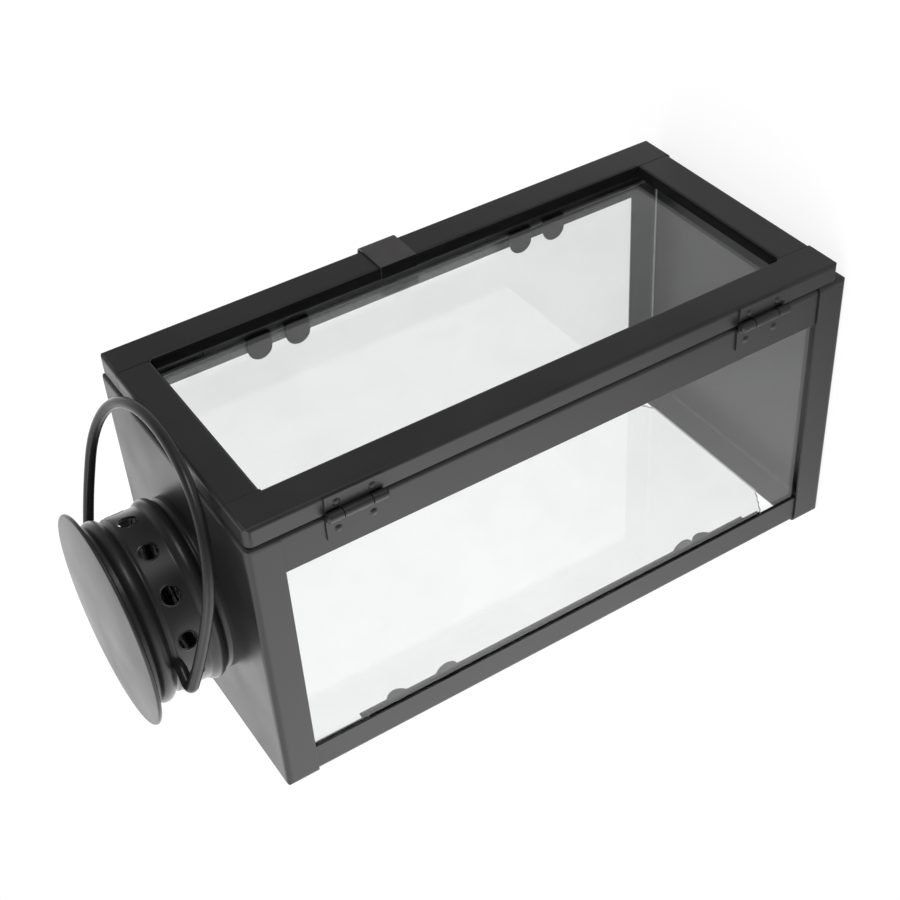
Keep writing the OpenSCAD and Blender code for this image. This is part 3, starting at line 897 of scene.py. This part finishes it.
@dataclass
class Chimney(Assembly):
    """Beaded and vented tube with its domed cap.

    lip_out_mm and lip_up_mm give the section of a vent's rolled lip: how far each point
    lies beyond the vent's edge and above the tube's wall. vent_rings gives the share k
    of the rectangle in each ring round a vent.
    """

    foot_mm: float = 247.0
    tube_r_mm: float = 32.6
    tube_h_mm: float = 32.6
    sheet_mm: float = 0.8
    cap_r_mm: float = 39.7
    cap_rise_mm: float = 1.3
    cap_roll_mm: float = 0.75
    skirt_out_mm: float = 31.65
    skirt_in_mm: float = 30.85
    skirt_h_mm: float = 3.0
    tube_end_mm: float = 0.39
    vent_r_mm: float = 3.4
    vent_count: int = 12
    vent_z_mm: float = 16.3
    vent_turn_deg: float = 13.0
    vent_steps: tuple[int, int] = (20, 12)
    vent_rings: tuple[float, ...] = (1.0, 0.75, 0.5, 0.3, 0.15, 0.05)
    lip_out_mm: tuple[float, ...] = (0.38, 0.30, 0.18, 0.06, 0.0, -0.02, 0.0, 0.1)
    lip_up_mm: tuple[float, ...] = (0.0, 0.09, 0.17, 0.15, 0.04, -0.3, -0.7, -0.8)
    band_mm: float = 4.6
    bead_rows: int = 64
    bead_z_mm: tuple[float, float] = (6.7, 26.2)
    bead_out_mm: float = 1.6
    bead_round_mm: float = 3.5
    groove_z_mm: tuple[float, float] = (3.2, 22.3)
    groove_in_mm: float = 0.6
    groove_round_mm: float = 1.2
    blend_mm: float = 0.3
    blend_reach: float = 3.0
    blend_steps: int = 25
    turn_steps: int = 192
    dome_points: int = 48
    roll_deg: tuple[float, float] = (80.0, -180.0)
    roll_points: int = 25
    under_points: int = 12
    inside_points: int = 24

    def ring_turns(self, count: int, start: float) -> np.ndarray:
        """Shares a full turn among some steps, the first at the angle start, in radians."""
        return start + np.arange(count) * FULL_TURN / count

    def wall(self, z: np.ndarray, depth: float) -> np.ndarray:
        """Works out the tube's radius at given heights above the roof.

        A bead of radius b round its own middle m raises the wall to
        m + sqrt(b * b - dz * dz) and a groove lowers it in the same way. The corners
        between them are then blended by a bell-shaped average over nearby heights.

        Args:
            z: Heights above the roof in millimetres.
            depth: Depth below the outer face: 0 outside, the sheet's thickness inside.

        Returns:
            The radius at each height.
        """
        near = np.linspace(-self.blend_reach, self.blend_reach, self.blend_steps) * self.blend_mm
        bell = np.exp(-0.5 * (near / self.blend_mm) ** 2)
        at = z[:, None] + near
        radius = np.full(at.shape, self.tube_r_mm - depth)
        middle = self.tube_r_mm + self.bead_out_mm - self.bead_round_mm
        for bead in self.bead_z_mm:
            rise = np.sqrt(np.maximum((self.bead_round_mm - depth) ** 2 - (at - bead) ** 2, 0))
            radius = np.maximum(radius, middle + rise)
        middle = self.tube_r_mm - self.groove_in_mm + self.groove_round_mm
        for groove in self.groove_z_mm:
            bore = (self.groove_round_mm + depth) ** 2 - (at - groove) ** 2
            dip = middle - np.sqrt(np.maximum(bore, 0))
            radius = np.where(bore > 0, np.minimum(radius, dip), radius)
        return (radius * bell).sum(axis=1) / bell.sum()

    def vent_band(self) -> tuple[np.ndarray, np.ndarray]:
        """Works out the plain band of the tube with its vents and their rolled lips.

        Each vent has a field of its own: rings that change from the field's rectangle to
        the vent's circle, P = (1 - k) * circle + k * rectangle, run over the lip through
        the wall and open out to the rectangle again inside. A point s along the wall and
        h above it lies at the angle turn + s / tube_r and the radius tube_r + h.

        Returns:
            The points in millimetres and the faces.
        """
        wide, high = math.pi * self.tube_r_mm / self.vent_count, self.band_mm
        across, up = self.vent_steps
        s = np.linspace(-wide, wide, across, endpoint=False)
        t = np.linspace(-high, high, up, endpoint=False)
        foot, head = np.full(across, -high), np.full(across, high)
        right, left = np.full(up, wide), np.full(up, -wide)
        sides = [(s, foot), (right, t), (-s, head), (left, -t)]
        rectangle = np.concatenate([np.stack(side, axis=-1) for side in sides])
        circle = rectangle / np.linalg.norm(rectangle, axis=1, keepdims=True)
        lip_out, lip_up = np.array(self.lip_out_mm), np.array(self.lip_up_mm)
        share = np.array(self.vent_rings)[:, None, None]
        near = self.vent_r_mm + lip_out[0]
        far = self.vent_r_mm + lip_out[-1]
        outer = share * rectangle + (1 - share) * circle * near
        inner = share[::-1] * rectangle + (1 - share[::-1]) * circle * far
        rolled = circle * (self.vent_r_mm + lip_out[:, None, None])
        rings = np.concatenate([outer, rolled, inner])
        rise = np.concatenate([np.zeros(len(outer)), lip_up, np.full(len(inner), -self.sheet_mm)])
        turn = self.ring_turns(self.vent_count, math.radians(self.vent_turn_deg))
        angle = turn[:, None, None] + rings[..., 0] / self.tube_r_mm
        radius = np.broadcast_to(self.tube_r_mm + rise[:, None], angle.shape)
        height = np.broadcast_to(self.foot_mm + self.vent_z_mm + rings[..., 1], angle.shape)
        points = np.stack([radius * np.cos(angle), radius * np.sin(angle), height], axis=-1)
        faces = grid_faces(len(rise), len(rectangle))
        first = np.arange(self.vent_count)[:, None, None] * len(rise) * len(rectangle)
        return points.reshape(-1, 3), (faces[None] + first).reshape(-1, 4)

    def skirt_band(self, low: float, high: float, seam: float) -> tuple[np.ndarray, np.ndarray]:
        """Works out the tube above or below the vents: up its outside, over and down inside.

        Args:
            low: The band's lower end, above the roof in millimetres.
            high: The band's upper end.
            seam: The end that joins the vents' band, either low or high.

        Returns:
            The points in millimetres and the faces.
        """
        z = np.linspace(seam, low + high - seam, self.bead_rows)
        outer = np.stack([self.wall(z, 0.0), z], axis=-1)
        inner = np.stack([self.wall(z, self.sheet_mm), z], axis=-1)[::-1]
        profile = np.vstack([outer, inner])
        count = self.vent_steps[0] * self.vent_count
        start = math.radians(self.vent_turn_deg) - math.pi / self.vent_count
        turn = self.ring_turns(count, start)
        points = np.stack(
            [
                profile[:, :1] * np.cos(turn),
                profile[:, :1] * np.sin(turn),
                np.repeat(self.foot_mm + profile[:, 1:], count, axis=1),
            ],
            axis=-1,
        )
        faces = grid_faces(len(profile), count)
        return points.reshape(-1, 3), faces if seam == low else faces[:, ::-1]

    def tube(self) -> bpy.types.Mesh:
        """Joins the vents' band and the beaded bands above and below it.

        Returns:
            The tube's mesh, one closed skin.
        """
        low, high = self.vent_z_mm - self.band_mm, self.vent_z_mm + self.band_mm
        top = self.tube_h_mm + self.tube_end_mm
        parts = [self.vent_band(), self.skirt_band(0.0, low, low), self.skirt_band(high, top, high)]
        start = np.cumsum([0] + [len(points) for points, _ in parts[:-1]])
        points = np.vstack([points for points, _ in parts])
        faces = np.vstack([faces + first for (_, faces), first in zip(parts, start)])
        return welded(solid_mesh("chimney_tube_beaded", points, faces.tolist(), BEAD_SHARP_DEG))

    def cap(self) -> bpy.types.Mesh:
        """Turns the cap: a shallow dome, a rolled edge and the skirt that plugs the tube.

        The dome is part of a sphere, z = c + sqrt(R * R - r * r), with R from the cap's
        rise: R = (r_edge ** 2 + rise ** 2) / (2 * rise).

        Returns:
            The cap's mesh.
        """
        edge_r = self.cap_r_mm - self.cap_roll_mm
        edge_z = self.foot_mm + self.tube_h_mm
        dome_r = (edge_r**2 + self.cap_rise_mm**2) / (2 * self.cap_rise_mm)
        centre = edge_z + self.cap_rise_mm - dome_r
        out = np.linspace(0, edge_r, self.dome_points)
        top = np.stack([out, centre + np.sqrt((dome_r + self.sheet_mm) ** 2 - out**2)], axis=-1)
        roll_middle = (edge_r, top[-1, 1] - self.cap_roll_mm)
        roll = arc(roll_middle, self.cap_roll_mm, *self.roll_deg, self.roll_points)
        back = np.linspace(edge_r - self.cap_roll_mm, self.skirt_out_mm, self.under_points)[1:]
        under = np.stack([back, centre + np.sqrt(dome_r**2 - back**2)], axis=-1)
        skirt_z = centre + math.sqrt(dome_r**2 - self.tube_r_mm**2) - self.skirt_h_mm
        skirt = np.array([[self.skirt_out_mm, skirt_z], [self.skirt_in_mm, skirt_z]])
        home = np.linspace(self.skirt_in_mm, 0, self.inside_points)
        inside = np.stack([home, centre + np.sqrt(dome_r**2 - home**2)], axis=-1)
        return lathe("cap_dome", np.vstack([top, roll, under, skirt, inside]), self.turn_steps)

    def build(self) -> None:
        """Adds the tube and its cap in the places of the CAD ones."""
        self.add(self.tube(), (self.finishes.sheet,), Body.LANTERN, Slot.BODY, "chimney_tube")
        self.add(self.cap(), (self.finishes.sheet,), Body.LANTERN, Slot.BODY, "chimney_cap")


@dataclass
class Bail(Assembly):
    """The carrying handle: one wire with drooping, turned-in ends."""

    wire_r_mm: float = 2.0
    hub_z_mm: float = 268.7
    top_r_mm: float = 60.0
    top_c_mm: float = 13.9
    top_half_deg: float = 20.8
    shoulder_r_mm: float = 40.9
    leg_r_mm: float = 150.0
    elbow_r_mm: float = 3.2
    straight_mm: float = 35.0
    droop_deg: float = 22.0
    droop_r_mm: float = 3.0
    end_mm: float = 29.5
    end_bevel_mm: float = 0.4
    rest_z_mm: float = 248.3
    end_points: int = 8
    elbow_points: int = 16
    leg_points: int = 60
    shoulder_points: int = 40
    crown_points: int = 20
    wire_steps: int = 40

    def half_path(self) -> np.ndarray:
        """Works out the centre line from the end at +X to the middle of the top arc.

        Straight end, bend into the droop, droop, elbow, leg, shoulder and half the top
        arc follow each other, each tangent to the next.

        Returns:
            X and Z from the pivot in millimetres, as an array of points by 2.
        """
        droop, half = math.radians(self.droop_deg), math.radians(self.top_half_deg)
        shoulder = np.array([math.sin(half), math.cos(half)]) * (self.top_r_mm - self.shoulder_r_mm)
        shoulder[1] += self.top_c_mm
        leg = shoulder + [self.shoulder_r_mm - self.leg_r_mm, 0.0]
        span = self.leg_r_mm - self.elbow_r_mm
        foot = np.array(
            [
                self.straight_mm + self.droop_r_mm * math.sin(droop),
                -self.droop_r_mm * (1 - math.cos(droop)),
            ]
        )
        run_in = leg[0] - self.elbow_r_mm * math.sin(droop) - foot[0]
        run_up = leg[1] - self.elbow_r_mm * math.cos(droop) - foot[1]
        reach = (run_up * math.cos(droop) + run_in * math.sin(droop)) / span
        leg_angle = droop + math.asin(reach)
        elbow = leg + span * np.array([math.cos(leg_angle), -math.sin(leg_angle)])
        leg_deg, top_deg = math.degrees(leg_angle), 90 - self.top_half_deg
        end_x = np.linspace(self.end_mm, self.straight_mm, self.end_points)
        end = np.stack([end_x, np.zeros(self.end_points)], axis=-1)
        bend_middle = (self.straight_mm, -self.droop_r_mm)
        bend = arc(bend_middle, self.droop_r_mm, 90, 90 - self.droop_deg, self.end_points)
        turn = arc(elbow, self.elbow_r_mm, -90 - self.droop_deg, -leg_deg, self.elbow_points)
        rise = arc(leg, self.leg_r_mm, -leg_deg, 0, self.leg_points)
        lean_in = arc(shoulder, self.shoulder_r_mm, 0, top_deg, self.shoulder_points)
        crown = arc((0.0, self.top_c_mm), self.top_r_mm, top_deg, 90, self.crown_points)
        return np.vstack([end, bend[1:], turn, rise[1:], lean_in[1:], crown[1:]])

    def build(self) -> None:
        """Bends the wire, leans it over the door and hangs it in the tube.

        At rest the top's centre line lies at the height rest_z_mm, so the lean is the
        angle whose cosine is (rest_z - hub_z) / reach.
        """
        half = self.half_path()
        path = np.vstack([half, half[-2::-1] * [-1, 1]])
        radii = np.full(len(path), self.wire_r_mm)
        radii[[0, -1]] -= self.end_bevel_mm
        path[[1, -2], 0] = np.array([1, -1]) * (self.end_mm + self.end_bevel_mm)
        mesh = sweep("bail_wire", path, radii, self.wire_steps)
        reach = self.top_c_mm + self.top_r_mm
        lean = math.acos((self.rest_z_mm - self.hub_z_mm) / reach)
        hub = Matrix.Translation((0, 0, self.hub_z_mm * MM))
        mesh.transform(hub @ Matrix.Rotation(lean, 4, "X"))
        self.add(mesh, (self.finishes.wire,), Body.BAIL, Slot.BAIL, "bail_handle")


@dataclass
class Door(Assembly):
    """Folded door frame, its clips, latch strap and hinges."""

    frame_nodes: tuple[str, ...] = (
        "door_stile_hinge",
        "door_stile_latch",
        "door_rail_top",
        "door_rail_bottom",
    )
    hardware_nodes: tuple[str, ...] = (
        "door_glass_clips",
        "hinge_leaf_door_upper",
        "hinge_leaf_door_lower",
        "hinge_leaf_body_upper",
        "hinge_leaf_body_lower",
    )
    turned_nodes: tuple[str, ...] = (
        "hinge_pin_upper",
        "hinge_pin_lower",
        "rivets_door",
        "rivets_body",
    )
    edge_mm: float = 0.15
    leaf_edge_mm: float = 0.2
    strap_edge_mm: float = 0.3
    window_half_mm: float = 41.2
    window_z_mm: tuple[float, float] = (21.2, 232.6)
    return_mm: float = 0.9
    painted_shade_y_mm: float = -65.45

    def paint_shade_on_returns(self, pieces: Sequence[bpy.types.Object]) -> None:
        """Paints shade on the folded returns round the window: a near-black, dull coat where the
        cavity behind the frame lies in shade.

        They are the faces behind painted_shade_y_mm whose middle lies in the window or within
        return_mm of it: |x| below its half width and z between its foot and its head.

        Args:
            pieces: The members of the door's frame and the strap.
        """
        low, high = self.window_z_mm
        for piece in pieces:
            mesh = piece.data
            mesh.materials.append(self.finishes.returns_painted_shade)
            middle = np.zeros(len(mesh.polygons) * 3)
            mesh.polygons.foreach_get("center", middle)
            x, y, z = middle.reshape(-1, 3).T / MM
            across = np.abs(x) < self.window_half_mm + self.return_mm
            upright = (z > low - self.return_mm) & (z < high + self.return_mm)
            # Painted shade: these faces get the near-black coat in place of the shade that lies
            # there.
            painted_shade_faces = across & upright & (y > self.painted_shade_y_mm)
            mesh.polygons.foreach_set("material_index", painted_shade_faces.astype(np.int32))
            LOG.info("%s: %d faces in primer", piece.name, int(painted_shade_faces.sum()))

    def build(self) -> None:
        """Dresses the door's frame and its hardware, with painted shade on the window's returns."""
        members = self.ease(self.frame_nodes, self.edge_mm, self.finishes.sheet, Slot.BODY)
        members += self.ease(("door_latch",), self.strap_edge_mm, self.finishes.strap, Slot.BODY)
        self.paint_shade_on_returns(members)
        self.ease(self.hardware_nodes, self.leaf_edge_mm, self.finishes.hardware, Slot.HARDWARE)
        self.dress(self.turned_nodes, self.finishes.hardware)


# ---- Studio ----


@dataclass(frozen=True)
class SoftBox:
    """A square lamp, with its middle, the point it faces and its side in metres."""

    name: str
    place: tuple[float, float, float]
    aim: tuple[float, float, float]
    side_m: float
    watts: float


@dataclass
class Studio:
    """Camera, floor, world and soft boxes.

    The camera's place and axes are in the part's frame, with the lantern upright. The
    studio is pale behind the lantern and dimmer in front of its door, and the floor adds a
    painted reflection that only glossy rays see, brighter behind the lantern, so that the
    door's face stays darker than the sides.
    """

    lens_mm: float = 63.645
    camera_mm: tuple[float, float, float] = (-394.07, -393.52, 366.41)
    right: tuple[float, float, float] = (-0.53735, 0.05404, -0.84162)
    down: tuple[float, float, float] = (-0.52520, 0.75937, 0.38409)
    ahead: tuple[float, float, float] = (0.65986, 0.64841, -0.37967)
    sensor_mm: float = 36.0
    clip_m: tuple[float, float] = (0.01, 100.0)
    floor_m: float = 14.0
    paper_glow: float = 0.87
    paper_share: float = 0.42
    # Painted reflection: the strength of the floor's glow that only glossy rays see, and the span
    # of Y over which it rises.
    floor_painted_reflection: float = 1.7
    painted_reflection_y_m: tuple[float, float] = (-0.25, 0.35)
    shadow_share: float = 0.25
    front_light: float = 0.18
    back_light: float = 1.6
    back_span: tuple[float, float] = (-0.8, 0.8)
    low_light: float = 1.3
    high_light: float = 0.85
    height_span: tuple[float, float] = (0.0, 0.6)
    lamps: tuple[SoftBox, ...] = (
        SoftBox("soft_box_high", (-0.9, 0.5, 1.6), (0, 0, 0.12), 1.2, 5.0),
        SoftBox("soft_box_front", (-0.15, -1.2, 0.3), (0, 0, 0.25), 0.3, 2.4),
    )

    def camera(self) -> None:
        """Makes the camera and turns it to the lantern."""
        data = bpy.data.cameras.new("camera")
        data.lens = self.lens_mm
        data.sensor_width = self.sensor_mm
        data.sensor_fit = "HORIZONTAL"
        data.clip_start, data.clip_end = self.clip_m
        eye = bpy.data.objects.new("camera", data)
        axes = np.array([self.right, np.negative(self.down), np.negative(self.ahead)]).T
        place = Matrix(axes.tolist()).to_4x4()
        place.translation = Vector(self.camera_mm) * MM
        eye.matrix_world = place
        bpy.context.scene.collection.objects.link(eye)
        bpy.context.scene.camera = eye

    def floor(self) -> None:
        """Lays a white floor that keeps a soft shadow and shows glossy rays a painted reflection.
        """
        half = self.floor_m / 2
        mesh = bpy.data.meshes.new("floor")
        corners = [(-half, -half, 0.0), (half, -half, 0.0), (half, half, 0.0), (-half, half, 0.0)]
        mesh.from_pydata(corners, [], [(0, 1, 2, 3)])
        material, tree = new_material("white_floor")
        place = add_node(tree, "ShaderNodeTexCoord").outputs["Object"]
        back = add_node(tree, "ShaderNodeSeparateXYZ", {"Vector": place}).outputs["Y"]
        # Painted reflection: to glossy rays alone the floor glows, from nothing at the front to
        # full strength at the back, though it is no lamp.
        ramp = add_ramp(tree, back, self.painted_reflection_y_m, (0.0, self.floor_painted_reflection), soft=True)
        glossy = add_node(tree, "ShaderNodeLightPath").outputs["Is Glossy Ray"]
        painted_reflection_strength = add_node(tree, "ShaderNodeMath", {0: ramp, 1: glossy}, operation="MULTIPLY")
        painted_reflection_glow = add_node(tree, "ShaderNodeEmission", {"Strength": painted_reflection_strength.outputs[0]})
        paper = add_node(tree, "ShaderNodeBsdfDiffuse", {"Color": (self.paper_share,) * 3 + (1,)})
        plain = add_node(
            tree, "ShaderNodeAddShader", {0: paper.outputs["BSDF"], 1: painted_reflection_glow.outputs["Emission"]}
        )
        shaded = add_node(tree, "ShaderNodeBsdfDiffuse", {"Color": (self.shadow_share,) * 3 + (1,)})
        white = add_node(tree, "ShaderNodeEmission", {"Color": WHITE, "Strength": self.paper_glow})
        bright = add_node(
            tree, "ShaderNodeAddShader", {0: shaded.outputs["BSDF"], 1: white.outputs["Emission"]}
        )
        shown = add_choice(tree, add_ray_test(tree, *SEEN_RAYS), plain, bright)
        add_node(tree, "ShaderNodeOutputMaterial", {"Surface": shown})
        mesh.materials.append(material)
        floor = bpy.data.objects.new("floor", mesh)
        bpy.context.scene.collection.objects.link(floor)

    def world(self) -> None:
        """Lights the air from pale at +Y to dim at -Y and shows white to the camera."""
        world = bpy.data.worlds.new("studio")
        world.use_nodes = True
        tree = world.node_tree
        tree.nodes.clear()
        place = add_node(tree, "ShaderNodeTexCoord").outputs["Generated"]
        parts = add_node(tree, "ShaderNodeSeparateXYZ", {"Vector": place}).outputs
        back = (self.front_light, self.back_light)
        deep = add_ramp(tree, parts["Y"], self.back_span, back, soft=True)
        height = (self.low_light, self.high_light)
        level = add_ramp(tree, parts["Z"], self.height_span, height, soft=True)
        product = add_node(tree, "ShaderNodeMath", {0: deep, 1: level}, operation="MULTIPLY")
        air = add_node(tree, "ShaderNodeBackground", {"Strength": product.outputs[0]})
        white = add_node(tree, "ShaderNodeBackground", {"Color": WHITE, "Strength": 1.0})
        shown = add_choice(tree, add_ray_test(tree, *SEEN_RAYS), air, white)
        add_node(tree, "ShaderNodeOutputWorld", {"Surface": shown})
        bpy.context.scene.world = world

    def lamp(self, box: SoftBox) -> None:
        """Hangs one soft box, which lights and mirrors but doesn't show itself.

        Args:
            box: The soft box.
        """
        data = bpy.data.lights.new(box.name, "AREA")
        data.shape = "SQUARE"
        data.size = box.side_m
        data.energy = box.watts
        lamp = bpy.data.objects.new(box.name, data)
        lamp.location = box.place
        facing = Vector(box.aim) - Vector(box.place)
        lamp.rotation_euler = facing.to_track_quat("-Z", "Y").to_euler()
        lamp.visible_camera = False
        lamp.visible_transmission = False
        bpy.context.scene.collection.objects.link(lamp)

    def build(self) -> None:
        """Builds the whole studio."""
        self.camera()
        self.floor()
        self.world()
        for box in self.lamps:
            self.lamp(box)
        bpy.context.scene.view_settings.view_transform = "Standard"


def main() -> None:
    """Builds the studio and the lantern."""
    logging.basicConfig(level=logging.INFO, format="%(name)s: %(message)s")
    Studio().build()
    finishes = Finishes()
    for assembly in (SheetBody, Glazing, Chimney, Bail, Door):
        assembly(finishes).build()


if __name__ == "__main__":
    main()
